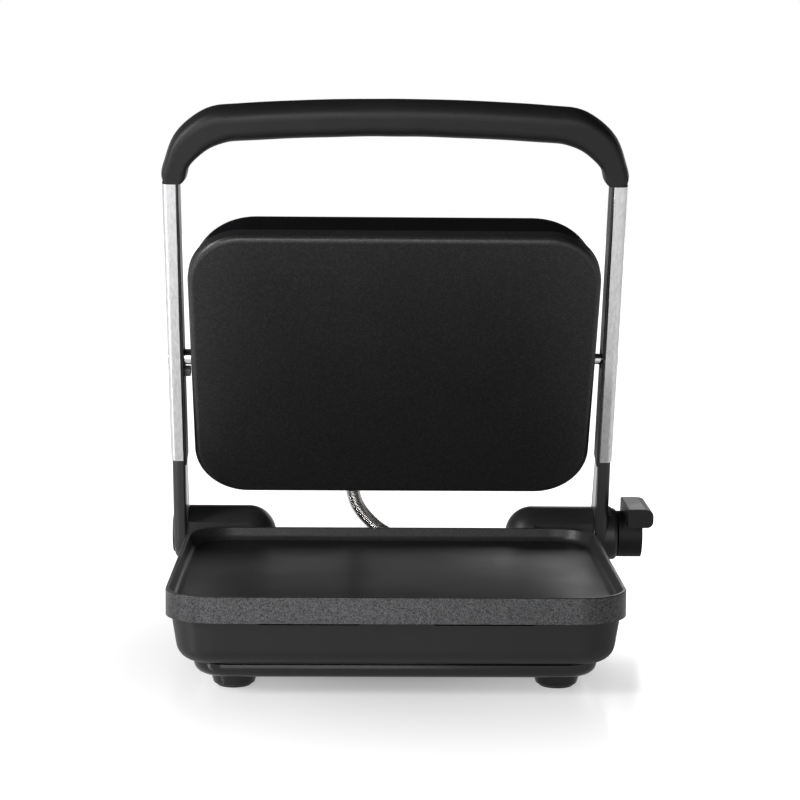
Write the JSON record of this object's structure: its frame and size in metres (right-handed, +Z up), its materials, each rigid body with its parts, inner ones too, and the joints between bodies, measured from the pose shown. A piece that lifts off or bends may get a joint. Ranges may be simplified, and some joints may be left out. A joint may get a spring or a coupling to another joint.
{
  "type": "panini press",
  "caption": "Panini press: a tray-like lower hot plate on a rounded base, and a flat upper plate that floats on pivots between chromed arms on a friction hinge, with a grip across their top.",
  "frame": {"origin": "On the worktop, under the middle of the lower plate, in the plane of the feet.", "axes": "+X to the right seen from the front, +Y to the back where the hinge is, +Z up."},
  "size_m": [0.4104, 0.3494, 0.4406],
  "materials": {
    "satin_black_plastic": "satin",
    "gloss_black_plastic": "gloss",
    "soft_touch_black": "soft matte",
    "liner_black_plastic": "matte",
    "polished_chrome": "polished",
    "plain_steel": "plain",
    "screw_steel": "plain",
    "conduit_steel": "ribbed",
    "speckled_plate": "speckled coating",
    "dark_plate": "fine sparkle coating",
    "bush_brass": "plain",
    "foot_rubber": "matte",
    "grey_plastic": "matte",
    "terminal_plastic": "matte"
  },
  "bodies": {
    "base": {"base_shell": "satin_black_plastic", "bottom_cover": "gloss_black_plastic", "foot_front_left": "foot_rubber", "foot_front_right": "foot_rubber", "foot_rear_left": "foot_rubber", "foot_rear_right": "foot_rubber", "foot_bezels": "gloss_black_plastic", "cover_screws": "screw_steel", "lower_plate": "speckled_plate", "lower_heating_element": "plain_steel", "lower_thermostat": "plain_steel", "lower_heat_shield": "plain_steel", "lower_plate_screws": "screw_steel", "terminal_block": "terminal_plastic", "hinge_barrel_left": "satin_black_plastic", "hinge_barrel_right": "satin_black_plastic", "barrel_screws": "screw_steel", "hinge_shaft_left": "plain_steel", "hinge_shaft_right": "plain_steel", "friction_washer_left": "liner_black_plastic", "friction_washer_right": "liner_black_plastic", "conduit_gland_lower": "satin_black_plastic", "cord_inlet": "satin_black_plastic", "conduit": "conduit_steel", "lever_screw": "screw_steel"},
    "handle_frame": {"arm_bar_left": "plain_steel", "arm_bar_right": "plain_steel", "arm_trim_left": "polished_chrome", "arm_trim_right": "polished_chrome", "arm_liner_left": "liner_black_plastic", "arm_liner_right": "liner_black_plastic", "knuckle_left": "satin_black_plastic", "knuckle_right": "satin_black_plastic", "hinge_bush_left": "bush_brass", "hinge_bush_right": "bush_brass", "handle_grip": "soft_touch_black", "handle_core": "plain_steel", "pivot_pin_left": "polished_chrome", "pivot_pin_right": "polished_chrome", "tilt_stop": "grey_plastic"},
    "upper_platen": {"upper_plate": "dark_plate", "upper_housing": "gloss_black_plastic", "upper_heating_element": "plain_steel", "upper_thermostat": "plain_steel", "upper_heat_shield": "plain_steel", "pivot_bracket_left": "plain_steel", "pivot_bracket_right": "plain_steel", "pivot_bush_left": "bush_brass", "pivot_bush_right": "bush_brass", "conduit_gland_upper": "satin_black_plastic", "upper_screws": "screw_steel"},
    "lever": {"lever_body": "satin_black_plastic", "lever_end_cap": "satin_black_plastic", "lever_top_plate": "grey_plastic"}
  },
  "joints": [
    {"name": "lid_hinge", "type": "hinge", "parent": "base", "child": "handle_frame", "pos_m": [0, 0.16765, 0.0678], "axis": [1, 0, 0], "range_deg": [-18.5, 61.6], "deforming": ["conduit"]},
    {"name": "plate_float", "type": "hinge", "parent": "handle_frame", "child": "upper_platen", "pos_m": [0, 0.11466, 0.22617], "axis": [1, 0, 0], "range_deg": [-4, 4], "deforming": ["conduit"]},
    {"name": "height_lever", "type": "hinge", "parent": "base", "child": "lever", "pos_m": [0, 0.16765, 0.0678], "axis": [1, 0, 0], "range_deg": [-50, 0]}
  ]
}
